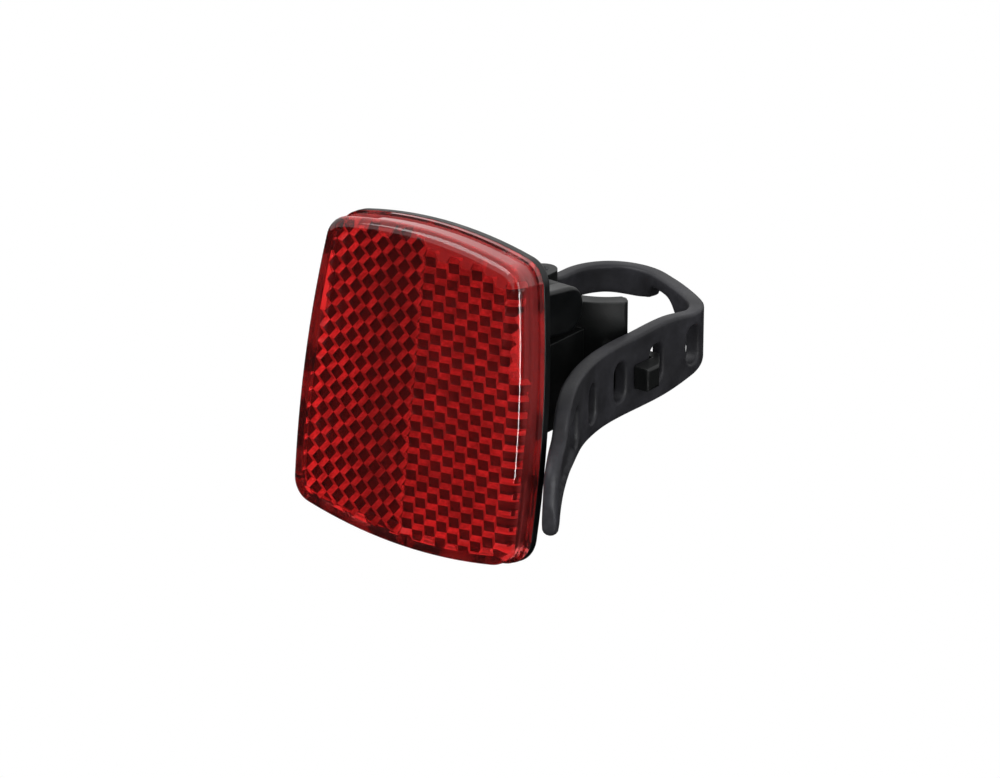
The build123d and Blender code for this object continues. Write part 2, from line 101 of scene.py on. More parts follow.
# %% Colour and node helpers
def linear(code):
    """sRGB hex code to linear red, green, blue and alpha: each channel c below 0.04045 is c/12.92,
    and above it is ((c + 0.055)/1.055) to the power 2.4."""
    channels = [int(code[i:i + 2], 16) / 255 for i in (1, 3, 5)]
    return [c / 12.92 if c <= 0.04045 else ((c + 0.055) / 1.055) ** 2.4 for c in channels] + [1.0]


def add(tree, kind, values=(), links=(), **settings):
    """Adds a node of this kind. settings are its own properties, values its socket values and
    links the sockets that feed it, both by socket name or number."""
    made = tree.nodes.new("ShaderNode" + kind)
    for key, value in settings.items():
        setattr(made, key, value)
    for key, value in dict(values).items():
        made.inputs[key].default_value = value
    for key, socket in dict(links).items():
        tree.links.new(socket, made.inputs[key])
    return made


# A Mix node that blends colours takes them at these two sockets and gives the blend at the last
FIRST, SECOND, BLEND = 6, 7, 2


def new_material(name):
    """An empty material and its tree."""
    material = bpy.data.materials.new(name)
    material.use_nodes = True
    material.node_tree.nodes.clear()
    return material, material.node_tree


# %% [markdown]
# ## The studio
# A catalogue picture is taken on white paper under large soft lamps. The paper here is a plain
# plane that shades like paper for every ray that lights the object, and so keeps its shadow, but
# shows pure white where the camera, a mirror image or a look through the red plastic meets it.
# That is done with the Light Path node, so that no extra light is needed to whiten the picture.

# %% White paper and white surroundings
def seen_directly(tree):
    """1 for rays from the camera, from a reflection or through glass, and 0 for all others."""
    path = add(tree, "LightPath")
    flags = ("Is Camera Ray", "Is Glossy Ray", "Is Transmission Ray")
    total = path.outputs[flags[0]]
    for flag in flags[1:]:
        total = add(tree, "Math", {}, {0: total, 1: path.outputs[flag]}, operation="MAXIMUM").outputs[0]
    return total


WHITE = "#ffffff"
PAPER_HALF, PAPER_GAP = 3.0, 0.2 * MM
paper_z = cad_low[2] - PAPER_GAP
corners = PAPER_HALF * np.array([(-1, -1), (1, -1), (1, 1), (-1, 1)])
paper_mesh = bpy.data.meshes.new("paper")
paper_mesh.from_pydata([(x, y, paper_z) for x, y in corners], [], [(0, 1, 2, 3)])
paper = bpy.data.objects.new("paper", paper_mesh)
bpy.context.collection.objects.link(paper)
paper_finish, tree = new_material("white paper")
matt = add(tree, "BsdfDiffuse", {"Color": linear("#f2f2f2")})
glow = add(tree, "Emission", {"Color": linear(WHITE), "Strength": 1.0})
mix = add(tree, "MixShader", {}, {0: seen_directly(tree), 1: matt.outputs[0], 2: glow.outputs[0]})
add(tree, "OutputMaterial", {}, {"Surface": mix.outputs[0]})
paper_mesh.materials.append(paper_finish)

ROOM_LIGHT = 0.45
room = bpy.data.worlds.new("studio")
room.use_nodes = True
tree = room.node_tree
tree.nodes.clear()
strength = add(tree, "MapRange", {"To Min": ROOM_LIGHT, "To Max": 1.0}, {"Value": seen_directly(tree)})
backdrop = add(tree, "Background", {"Color": linear(WHITE)}, {"Strength": strength.outputs[0]})
add(tree, "OutputWorld", {}, {"Surface": backdrop.outputs[0]})
bpy.context.scene.world = room
bpy.context.scene.view_settings.view_transform = "Standard"
print("paper", 2 * PAPER_HALF, "m wide at z =", round(paper_z / MM, 1), "mm")

# %% [markdown]
# ## Lamps and cards
# Two soft lamps model the black plastics: a large one from the left and above, and a narrow one
# low on the right. A glossy red face needs something more. A photographer lays black cards
# where it would mirror white paper, so that the red stays deep, and stands a narrow bright one
# where its rounded edge should carry a thin white line. One more black card hides the bright
# one from the flat face. The cards show in reflections alone, so they change no other light.

# %% Soft lamps
def softbox(name, azimuth, elevation, distance, width, height, watts):
    """A flat lamp that faces the lens from this azimuth and elevation, in degrees."""
    a, e = radians(azimuth), radians(elevation)
    way = Vector((sin(a) * cos(e), -cos(a) * cos(e), sin(e)))
    lamp = bpy.data.lights.new(name, "AREA")
    lamp.shape, lamp.size, lamp.size_y, lamp.energy = "RECTANGLE", width, height, watts
    holder = bpy.data.objects.new(name, lamp)
    holder.location = LENS_MIDDLE + way * distance
    holder.rotation_euler = way.to_track_quat("Z", "Y").to_euler()
    bpy.context.collection.objects.link(holder)
    print(name, watts, "W at", [round(v, 2) for v in holder.location])


softbox("key", azimuth=-35, elevation=50, distance=1.2, width=0.9, height=0.7, watts=10)
softbox("side", azimuth=62, elevation=20, distance=1.3, width=0.35, height=0.9, watts=4)


# %% Cards that show in reflections alone
def card(name, outline, code, strength=0.0):
    """A card with this outline: dull in its colour, or bright if it has a strength."""
    mesh = bpy.data.meshes.new(name)
    mesh.from_pydata([tuple(point) for point in outline], [], [tuple(range(len(outline)))])
    made = bpy.data.objects.new(name, mesh)
    bpy.context.collection.objects.link(made)
    finish, tree = new_material(name)
    surface = (add(tree, "Emission", {"Color": linear(code), "Strength": strength}) if strength
               else add(tree, "BsdfDiffuse", {"Color": linear(code)}))
    add(tree, "OutputMaterial", {}, {"Surface": surface.outputs[0]})
    mesh.materials.append(finish)
    for ray in ("camera", "diffuse", "transmission", "shadow", "volume_scatter"):
        setattr(made, "visible_" + ray, False)


def away(foot, azimuths, reach, height):
    """Points at these azimuths in degrees and this reach from the foot: the sine of the azimuth
    to the right and its cosine towards the viewer."""
    a = np.radians(azimuths)
    x, y = foot[0] + reach * np.sin(a), foot[1] - reach * np.cos(a)
    return np.stack([x, y, np.full(len(a), height)], axis=-1)


# %% The black card on the paper, and the bright one with its shade
BLACK = "#0a0a0a"
FLOOR_FOOT, FLOOR_REACH, FLOOR_STEP, FLOOR_LIFT = (0.0, -0.03), 2.6, 7.5, 0.3 * MM
around = np.arange(0, 360, FLOOR_STEP)
card("black_card", away(FLOOR_FOOT, around, FLOOR_REACH, paper_z + FLOOR_LIFT), BLACK)

LINE_FOOT, LINE_AZIMUTHS = (0.0250, -0.0585), (54.0, 66.0)
LINE_REACH, LINE_TOP, LINE_STRENGTH = 0.095, 0.045, 16.0
foot, top = (away(LINE_FOOT, LINE_AZIMUTHS, LINE_REACH, height) for height in (paper_z, LINE_TOP))
card("bright_card", np.vstack([foot, top[::-1]]), WHITE, LINE_STRENGTH)

# Points in mm along the right edge of the lens's flat face, from the top down: the foot of the
# card that stands between this face and the bright card
FACE_EDGE = MM * np.array([
    (21.8, -56.0, 36.0), (22.4, -57.0, 30.1), (23.1, -57.5, 26.5), (23.6, -58.2, 22.0),
    (24.1, -58.9, 17.4), (24.5, -59.7, 11.9), (24.8, -60.6, 6.4), (25.0, -61.4, 0.8),
    (25.0, -62.3, -4.3), (24.8, -65.4, -24.0)])
SHADE_AZIMUTH, SHADE_REACH = radians(47.0), 0.10
far_edge = FACE_EDGE + SHADE_REACH * np.array([sin(SHADE_AZIMUTH), -cos(SHADE_AZIMUTH), 0.0])
card("shade_card", np.vstack([FACE_EDGE, far_edge[::-1]]), BLACK)
print("black card", FLOOR_REACH, "m round the lens, bright card", LINE_REACH, "m from its edge")

# %% [markdown]
# ## The strap
# The real strap is a silicone moulding: a flat band that stands on edge, hooked through one of
# its five slots, with a thick tab to pull it by. All its edges are round, since the mould is
# milled with a ball cutter. It could be bent from a flat plate with a Curve modifier, but then
# the slots would need a dense grid to stay round. Here the flat band is drawn first, with u along
# it and z up, and every point of it is then carried to its place beside a bent middle line.

# %% The strap's middle line
STRAP_HALF = 1.5
EYE_RADIUS = 3.0
ANCHOR, FIRST_HEADING = (-17.2, 2.0), 90.0
LINE_SAMPLES = 6001
# Runs of the middle line from the anchor pin round the post to the tab: length in mm, turn in degrees
RUNS = ((8.369, 0.0), (21.971, -117.3), (18.284, -9.7), (8.325, -53.0),
        (19.0, 0.0), (25.918, 27.0), (21.0, 0.0))
NEAR_SIDE = sum(length for length, _ in RUNS[:4])
TAB_TIP = sum(length for length, _ in RUNS)


def strap_line(u):
    """Place and heading of the middle line at the distance u from the pin. The heading is the
    first one plus the turns passed so far, and the place is the sum of the headings' unit
    vectors. Behind the pin the line runs straight back."""
    ends = np.cumsum([0.0] + [length for length, _ in RUNS])
    turns = np.cumsum([0.0] + [turn for _, turn in RUNS])
    fine = np.linspace(0.0, ends[-1], LINE_SAMPLES)
    heading = np.radians(FIRST_HEADING + np.interp(fine, ends, turns))
    step = fine[1]
    middle = (heading[1:] + heading[:-1]) / 2
    x = ANCHOR[0] + np.concatenate([[0.0], np.cumsum(np.cos(middle) * step)])
    y = ANCHOR[1] + np.concatenate([[0.0], np.cumsum(np.sin(middle) * step)])
    beyond = np.minimum(u, 0.0)
    return np.interp(u, fine, x), np.interp(u, fine, y) + beyond, np.interp(u, fine, heading)


def carry(u, z, out):
    """Point of the bent strap: the middle line at u, moved out to its left by out, at height z."""
    x, y, heading = strap_line(u)
    return np.stack([x - out * np.sin(heading), y + out * np.cos(heading), z], axis=-1) * MM


tip = np.round(carry(TAB_TIP, 0.0, 0.0) / MM, 1)
print("strap", round(TAB_TIP + EYE_RADIUS, 1), "mm long, tip at", tip)


# %% The flat band's outline and slots
EDGE_STEP = 0.55
SPAN_SAMPLES = 24
# A slot's straight sides take up the angles whose sine is under a sixth
SLOT_SPREAD = 6


def smooth_loop(points, spacing):
    """Closed curve through the points, at an even spacing. Between two points it is a cubic. At
    each point its direction is the mean of the two sides' that meet there, the shorter side's
    counting for more."""
    p = np.array(points, float)
    before, after, far = np.roll(p, 1, 0), np.roll(p, -1, 0), np.roll(p, -2, 0)
    span = np.linalg.norm(after - p, axis=1)[:, None]
    last, following = np.roll(span, 1, 0), np.roll(span, -1, 0)
    behind, here, ahead = (p - before) / last, (after - p) / span, (far - after) / following
    leave = (here * last + behind * span) / (span + last) * span
    arrive = (ahead * span + here * following) / (span + following) * span
    t = np.linspace(0.0, 1.0, SPAN_SAMPLES, endpoint=False)[:, None, None]
    curve = ((2 * t**3 - 3 * t**2 + 1) * p + (t**3 - 2 * t**2 + t) * leave
             + (3 * t**2 - 2 * t**3) * after + (t**3 - t**2) * arrive)
    dense = curve.transpose(1, 0, 2).reshape(-1, 2)
    closed = np.vstack([dense, dense[:1]])
    way = np.concatenate([[0.0], np.cumsum(np.linalg.norm(np.diff(closed, axis=0), axis=1))])
    at = np.linspace(0.0, way[-1], int(way[-1] / spacing), endpoint=False)
    return np.stack([np.interp(at, way, closed[:, k]) for k in (0, 1)], axis=-1)


def slot_loop(u, z, width, height, spacing):
    """Slot with round ends: a circle of the slot's width whose upper and lower halves are moved
    apart. The points next to its sides are spread over the gap by the sine of their angle."""
    around = int((pi * width + 2 * (height - width)) / spacing)
    angle = np.linspace(0.0, 2 * pi, 4 * (around // 4), endpoint=False)
    rise = (height - width) / 2 * np.clip(np.sin(angle) * SLOT_SPREAD, -1, 1)
    return np.stack([u + width / 2 * np.cos(angle), z + width / 2 * np.sin(angle) + rise], axis=-1)


# The band's lower and upper edge as distance from the pin and height, in mm
LOW_EDGE = ((-EYE_RADIUS + 0.1, 0.6), (-1.8, -0.7), (6.0, -0.7), (16.0, -0.7), (26.2, -0.7), (27.9, -0.2),
            (28.4, 1.0), (29.3, 2.1), (31.0, 2.3), (38.4, 2.1), (40.6, 0.8), (43.6, -1.3), (48.9, -3.6),
            (55.4, -5.3), (63.0, -6.5), (76.0, -6.7), (90.0, -6.0))
HIGH_EDGE = ((98.0, 9.0), (90.0, 8.9), (76.0, 8.5), (63.0, 8.4), (55.4, 7.2), (48.9, 6.9), (39.0, 6.1),
             (28.4, 5.2), (16.0, 5.2), (6.0, 5.2), (-1.8, 5.2), (-EYE_RADIUS + 0.1, 4.0))
# The tab's edges as distances back from its tip and heights
TAB_LOW = ((16.5, -5.5), (11.2, -5.8), (6.7, -7.4), (4.3, -10.0), (3.3, -12.1), (1.6, -13.2))
TAB_HIGH = ((0.0, -12.5), (-0.6, -10.8), (-0.4, -8.4), (0.2, -6.0), (1.6, -1.4), (4.7, 1.2), (9.0, 2.9),
            (12.4, 7.0), (15.6, 8.6))
outline = list(LOW_EDGE) + [(TAB_TIP - back, z) for back, z in TAB_LOW + TAB_HIGH] + list(HIGH_EDGE)
edge = smooth_loop(outline, EDGE_STEP)

SLOT_WIDTH, SLOT_HEIGHT, SLOT_Z = 4.2, 7.9, 0.9
FIRST_SLOT, SLOT_PITCH, SLOT_COUNT = NEAR_SIDE - 0.2, 11.8, 5
slots = [slot_loop(FIRST_SLOT + k * SLOT_PITCH, SLOT_Z, SLOT_WIDTH, SLOT_HEIGHT, EDGE_STEP)
         for k in range(SLOT_COUNT)]
print("outline", len(edge), "points, each slot", len(slots[0]))


# %% Tools for loops
def inside(points, loop):
    """True where a point lies inside the loop: a ray along +u crosses it an odd number of times."""
    a, b = loop, np.roll(loop, -1, 0)
    x, z = points[:, None, 0], points[:, None, 1]
    spans = (a[None, :, 1] > z) != (b[None, :, 1] > z)
    rise = np.where(spans, b[None, :, 1] - a[None, :, 1], 1.0)
    cross = a[None, :, 0] + (z - a[None, :, 1]) * (b - a)[None, :, 0] / rise
    return (spans & (x < cross)).sum(axis=1) % 2 == 1


def distance_to(points, loop):
    """Distance to the loop: the least of those to its sides, each met at its nearest point."""
    a, side = loop[None], (np.roll(loop, -1, 0) - loop)[None]
    share = ((points[:, None] - a) * side).sum(-1) / (side**2).sum(-1)
    nearest = a + np.clip(share, 0.0, 1.0)[..., None] * side
    return np.linalg.norm(points[:, None] - nearest, axis=-1).min(axis=1)


def moved_in(loop, by):
    """The loop with each point moved to its left, across the line between its neighbours."""
    along = np.roll(loop, -1, 0) - np.roll(loop, 1, 0)
    along /= np.linalg.norm(along, axis=1)[:, None]
    return loop + np.reshape(by, (-1, 1)) * np.stack([-along[:, 1], along[:, 0]], axis=-1)


# %% Triangles of the flat band
BAND_ROUND, TIP_ROUND = 0.7, 1.4
TIP_FROM, TIP_EASE = TAB_TIP - 9.0, 7.0


def rim_round(u):
    """Radius of the rim: the band's, which grows to the tip's by a smooth step."""
    t = np.clip((u - TIP_FROM) / TIP_EASE, 0.0, 1.0)
    return BAND_ROUND + (TIP_ROUND - BAND_ROUND) * t * t * (3 - 2 * t)


rims = [edge] + [slot[::-1] for slot in slots]
loops = [moved_in(rim, rim_round(rim[:, 0])) for rim in rims]
GRID, CUT_SLACK = 0.75, 1e-6
low_uz, high_uz = edge.min(axis=0), edge.max(axis=0)
grid_u, grid_z = np.meshgrid(*(np.arange(low, high, GRID) for low, high in zip(low_uz, high_uz)))
grid_u[1::2] += GRID / 2
grid = np.stack([grid_u.ravel(), grid_z.ravel()], axis=-1)
keep = inside(grid, loops[0]) & (distance_to(grid, loops[0]) > GRID / 2)
for loop in loops[1:]:
    keep &= ~inside(grid, loop) & (distance_to(grid, loop) > GRID / 2)
flat = np.vstack(loops + [grid[keep]])
starts = np.cumsum([0] + [len(loop) for loop in loops])
ties = np.concatenate([np.stack([np.arange(a, b), np.roll(np.arange(a, b), -1)], -1)
                       for a, b in zip(starts[:-1], starts[1:])])
cut_points, _, cut_faces, *_ = delaunay_2d_cdt(flat.tolist(), ties.tolist(), [], 0, CUT_SLACK)
triangles = np.array(cut_faces)
assert len(cut_points) == len(flat), "the cutting added points"
middles = flat[triangles].mean(axis=1)
solid = inside(middles, loops[0])
for loop in loops[1:]:
    solid &= ~inside(middles, loop)
triangles = triangles[solid]
print("band cut into", len(triangles), "triangles a side")


# %% The strap's thickness and the sunk grip
# The grip's outline as distances back from the tab's tip and heights
GRIP = ((15.5, 3.8), (19.0, -1.0), (16.8, -3.0), (12.6, -4.7), (7.6, -5.8), (3.9, -8.6),
        (2.5, -7.6), (3.2, -2.6), (5.4, 0.0), (9.7, 1.4))
GRIP_DEPTH, GRIP_SLOPE = 0.8, 0.55
# The least value under the root that closes the eye's end, so that it doesn't run to a point
EYE_FLAT = 0.2
grip = smooth_loop([(TAB_TIP - back, z) for back, z in GRIP], EDGE_STEP)


def half_thickness(u):
    """Half the band, and near the pin the height of the eye's circle. Behind the pin it is drawn
    in once more by the same circle, to close the eye's end."""
    circle = np.sqrt(np.clip(EYE_RADIUS**2 - u**2, 0.0, None))
    closing = np.sqrt(np.clip(1 - (u / EYE_RADIUS) ** 2, EYE_FLAT, 1))
    return np.maximum(STRAP_HALF, circle) * np.where(u < 0, closing, 1.0)


def sunk(points):
    """Depth of the grip: a smooth step down from its outline inwards."""
    t = np.clip(distance_to(points, grip) / GRIP_SLOPE, 0.0, 1.0)
    return np.where(inside(points, grip), GRIP_DEPTH * t * t * (3 - 2 * t), 0.0)


# %% The strap's two faces and its rounded rims
def surface_mesh(name, points, faces):
    """Mesh from an array of points in metres and a list of face arrays, smooth all over."""
    mesh = bpy.data.meshes.new(name)
    mesh.from_pydata(points.tolist(), [], [face for group in faces for face in group.tolist()])
    mesh.shade_smooth()
    made = bpy.data.objects.new(name, mesh)
    bpy.context.collection.objects.link(made)
    print(name, len(points), "points,", len(mesh.polygons), "faces")
    return made


# A rim goes round in two quarter circles, each of them in four steps
quarter = np.linspace(0.0, pi / 2, 5)
insets = np.concatenate([1 - np.sin(quarter), 1 - np.sin(quarter[::-1])])
drops = np.concatenate([1 - np.cos(quarter), 1 - np.cos(quarter[::-1])])
sides = np.repeat([1.0, -1.0], len(quarter))
half = half_thickness(flat[:, 0])
parts = [carry(flat[:, 0], flat[:, 1], half - sunk(flat)), carry(flat[:, 0], flat[:, 1], -half)]
faces = [triangles, triangles[:, ::-1] + len(flat)]
count = 2 * len(flat)
for rim, start in zip(rims, starts):
    n, radius = len(rim), rim_round(rim[:, 0])
    ring_ids = [start + np.arange(n)]
    for inset, drop, side in list(zip(insets, drops, sides))[1:-1]:
        ring = moved_in(rim, inset * radius)
        height = side * (1 - drop * radius / STRAP_HALF) * half_thickness(ring[:, 0])
        parts.append(carry(ring[:, 0], ring[:, 1], height))
        ring_ids.append(count + np.arange(n))
        count += n
    ring_ids.append(start + len(flat) + np.arange(n))
    for a, b in zip(ring_ids[:-1], ring_ids[1:]):
        faces.append(np.stack([a, b, np.roll(b, -1), np.roll(a, -1)], axis=-1))
strap = surface_mesh("silicone_strap", np.vstack(parts), faces)
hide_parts("strap")
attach(strap, "bracket")

# %% [markdown]
# ## The rubber pad
# The saddle is lined with a rubber pad, so that the bracket neither slips nor scratches the post.
# Across it run five grooves that give it grip and let water out. It is one cross section carried
# round the post: straight outside, grooved inside, with round corners, and drawn in at both ends.

# %% The pad's section
PAD_INNER, PAD_OUTER = 13.65, 15.9
PAD_LOW, PAD_HIGH = -9.2, 12.8
PAD_FROM, PAD_TO = -60.0, 51.5
PAD_ROUND = 0.5
PAD_ROWS, PAD_TURNS = 221, 64
GROOVES, GROOVE_PITCH, GROOVE_HALF, GROOVE_DEPTH = 5, 4.8, 0.6, 0.5
GROOVE_FLAT = 1.6


def pad_section(shrink):
    """Inner and outer radius over the height z. A corner's inset is its radius less the height of
    a circle at that distance from the end. A groove's depth is 1 less the fourth power of the
    distance from its middle, times a factor that gives it a flat floor where it passes 1."""
    z = np.linspace(PAD_LOW + shrink, PAD_HIGH - shrink, PAD_ROWS)
    end = np.minimum(z - z[0], z[-1] - z)
    corner = PAD_ROUND - np.sqrt(np.clip(PAD_ROUND**2 - np.clip(PAD_ROUND - end, 0, None) ** 2, 0, None))
    middle = (PAD_LOW + PAD_HIGH) / 2
    places = middle + GROOVE_PITCH * (np.arange(GROOVES) - (GROOVES - 1) / 2)
    off = np.abs(z[:, None] - places).min(axis=1) / GROOVE_HALF
    dip = GROOVE_DEPTH * np.clip(GROOVE_FLAT * (1 - off**4), 0, 1)
    return z, PAD_INNER + np.maximum(corner, dip) + shrink, PAD_OUTER - corner - shrink


# %% The pad, carried round the post
turns = np.radians(np.linspace(PAD_FROM, PAD_TO, PAD_TURNS))
ease = PAD_ROUND * (1 - np.sin(quarter))
drawn_in = np.concatenate([ease, np.zeros(len(turns) - 2 * len(ease)), ease[::-1]])
lead = PAD_ROUND * (1 - np.cos(quarter)) / PAD_OUTER
turns[:len(lead)], turns[-len(lead):] = turns[0] + lead, turns[-1] - lead[::-1]
rings = []
for turn, shrink in zip(turns, drawn_in):
    z, inner, outer = pad_section(shrink)
    radius, height = np.concatenate([inner, outer[::-1]]), np.concatenate([z, z[::-1]])
    rings.append(np.stack([radius * np.sin(turn), -radius * np.cos(turn), height], axis=-1) * MM)
points = np.vstack(rings)
n, half_n = len(rings[0]), len(rings[0]) // 2
this = np.arange(n)
beside = np.roll(this, -1)
walls = np.concatenate([np.stack([this, beside, beside + n, this + n], axis=-1) + k * n
                        for k in range(len(rings) - 1)])
near_side = np.arange(half_n - 1)
cap = np.stack([near_side, n - 1 - near_side, n - 2 - near_side, near_side + 1], -1)
pad = surface_mesh("rubber_pad", points, [walls, cap, cap[:, ::-1] + (len(rings) - 1) * n])
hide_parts("saddle_pad")
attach(pad, "bracket")

# %% [markdown]
# ## The red lens
# The lens is moulded in clear red acrylic. Its front is smooth, and its rear is covered by cube
# corners: three facets at right angles that send a headlamp's light back where it came from.
# Seen from the side, two facets of each corner shine and the third lets the black housing show
# through, and that is what draws the red and dark checks. The prisms are real geometry in the
# CAD solid. What a path tracer with few bounces loses is the daylight that wanders inside the
# plastic, so two facets of each corner get a share of diffuse red, and the third, which turns
# most to the left, stays clear, as the smooth faces do. The surface's normal tells which it is.

# %% Soft random patterns
NOISE_LOW, NOISE_HIGH = 0.32, 0.68


def cloudy(tree, place, size, low, high):
    """A soft random pattern of this size in metres. Most values of a noise lie between NOISE_LOW
    and NOISE_HIGH, and they are spread from low to high."""
    pattern = add(tree, "TexNoise", {"Scale": 1 / size, "Detail": 2.0}, {"Vector": place})
    spread = {"From Min": NOISE_LOW, "From Max": NOISE_HIGH, "To Min": low, "To Max": high}
    return add(tree, "MapRange", spread, {"Value": pattern.outputs[0]}).outputs[0]


# %% Which facets of the lens shine, and their painted brightness
LENS_LEAN = radians(8.5)
REAR = (0.0, cos(LENS_LEAN), -sin(LENS_LEAN))
UPWARD = (0.0, sin(LENS_LEAN), cos(LENS_LEAN))
ASIDE = tuple(cos(pi / 6) * side + sin(pi / 6) * rise for side, rise in zip((1.0, 0.0, 0.0), UPWARD))
# How far a normal's cosine may be off, and the sideways one below which a facet turns to the left
SLACK, TURNED_AWAY = 0.06, -0.35
# A band of painted shade left of the middle: where it begins and ends, and the light left in its middle
DIM_FROM, DIM_TO, DIM_REACH, DIM_BASE, DIMMEST = -18 * MM, 4 * MM, 2.0, 0.37, 0.6
# Painted shade towards the top: the heights of the top and the foot, and the light painted at each
TOP_Z, FOOT_Z, TOP_LIGHT, FOOT_LIGHT = 37 * MM, -20 * MM, 0.8, 1.05
# Painted light differs from one cube corner to the next, which is 3.2 mm away, and is flecked within each
CELL, CELL_LIGHT = 3.2 * MM, (0.55, 1.15)
FLECK, FLECK_LIGHT = 0.7 * MM, (0.7, 1.1)


def shining_facets(tree, backward, sideways):
    """1 on two of each cube corner's facets: their normal makes a cube corner's angle with the
    rear direction, whose cosine is the root of a third, and doesn't turn to the left."""
    facet = add(tree, "Math", {1: sqrt(1 / 3), 2: SLACK}, {0: backward}, operation="COMPARE").outputs[0]
    turned = add(tree, "Math", {1: TURNED_AWAY}, {0: sideways}, operation="GREATER_THAN").outputs[0]
    return add(tree, "Math", {}, {0: facet, 1: turned}, operation="MULTIPLY").outputs[0]


def painted_facet_light(tree, place):
    """Painted brightness of a shining facet: less in a bell-shaped band left of the middle and towards
    the top, which is painted shade, and uneven from one corner to the next. The bell is DIM_BASE to
    the power of the square of the distance from the band's middle."""
    x, _, z = add(tree, "SeparateXYZ", {}, {0: place}).outputs
    band = {"From Min": DIM_FROM, "From Max": DIM_TO, "To Min": -DIM_REACH, "To Max": DIM_REACH}
    off = add(tree, "MapRange", band, {"Value": x}, clamp=False).outputs[0]
    square = add(tree, "Math", {}, {0: off, 1: off}, operation="MULTIPLY").outputs[0]
    bell = add(tree, "Math", {0: DIM_BASE}, {1: square}, operation="POWER").outputs[0]
    light = add(tree, "MapRange", {"To Min": 1.0, "To Max": DIMMEST}, {"Value": bell}).outputs[0]
    fall = {"From Min": TOP_Z, "From Max": FOOT_Z, "To Min": TOP_LIGHT, "To Max": FOOT_LIGHT}
    height = add(tree, "MapRange", fall, {"Value": z}).outputs[0]
    patterns = (cloudy(tree, place, CELL, *CELL_LIGHT), cloudy(tree, place, FLECK, *FLECK_LIGHT))
    for factor in (height, *patterns):
        light = add(tree, "Math", {}, {0: light, 1: factor}, operation="MULTIPLY").outputs[0]
    return light


# %% How much light the side walls scatter
# The walls' greatest share, and the cosines with the rear direction at which it begins and is full
WALL_SHARE, WALL_FROM, WALL_TO = 0.34, 0.45, 0.15
# What is left of it on a wall to the side, a painted shade, and the sideways cosines that tell such a
# wall
SIDE_LIGHT, SIDE_FROM, SIDE_TO = 0.3, 0.7, 0.4
SEAM_NEAR, SEAM_FAR = 4 * MM, 8 * MM
# Painted shade on the walls towards the foot: the heights where it begins and ends, and the share left at
# the foot
LOW_Z, HIGH_Z, LOW_LIGHT = -18 * MM, 12 * MM, 0.15


def side_walls(tree, backward, normal, place):
    """Share of light that the walls scatter, where the normal is nearly square to the rear
    direction: less on the right and left walls and towards the foot, which paints shade on them,
    and none near the seam of the lens's halves, where steep faces belong to the prisms."""
    steep = add(tree, "Math", {}, {0: backward}, operation="ABSOLUTE").outputs[0]
    share = add(tree, "MapRange", {"From Min": WALL_FROM, "From Max": WALL_TO, "To Max": WALL_SHARE},
                {"Value": steep}, interpolation_type="SMOOTHSTEP").outputs[0]
    sidelong = add(tree, "Math", {}, {0: add(tree, "SeparateXYZ", {}, {0: normal}).outputs[0]},
                   operation="ABSOLUTE").outputs[0]
    shaded = add(tree, "MapRange", {"To Min": 1.0, "To Max": SIDE_LIGHT}, {"Value": sidelong}).outputs[0]
    across, _, height = add(tree, "SeparateXYZ", {}, {0: place}).outputs
    aside = add(tree, "Math", {}, {0: across}, operation="ABSOLUTE").outputs[0]
    off_seam = add(tree, "MapRange", {"From Min": SEAM_NEAR, "From Max": SEAM_FAR},
                   {"Value": aside}).outputs[0]
    upright = add(tree, "MapRange", {"From Min": SIDE_FROM, "From Max": SIDE_TO},
                  {"Value": sidelong}).outputs[0]
    bordering = add(tree, "Math", {}, {0: off_seam, 1: upright}, operation="MAXIMUM").outputs[0]
    raised = add(tree, "MapRange", {"From Min": LOW_Z, "From Max": HIGH_Z, "To Min": LOW_LIGHT},
                 {"Value": height}).outputs[0]
    for factor in (shaded, raised, bordering):
        share = add(tree, "Math", {}, {0: share, 1: factor}, operation="MULTIPLY").outputs[0]
    return share


# %% Red acrylic, moulded and polished
ACRYLIC_IOR = 1.49
FACET_SHARE, MARGIN_SHARE, HAZE_SHARE = 0.92, 0.30, 0.016
# Shining facets turn from the bright red to the deep one where their painted light is less: painted shade
BRIGHT_RED, PAINTED_SHADE_RED = "#f86c6c", "#4a1414"


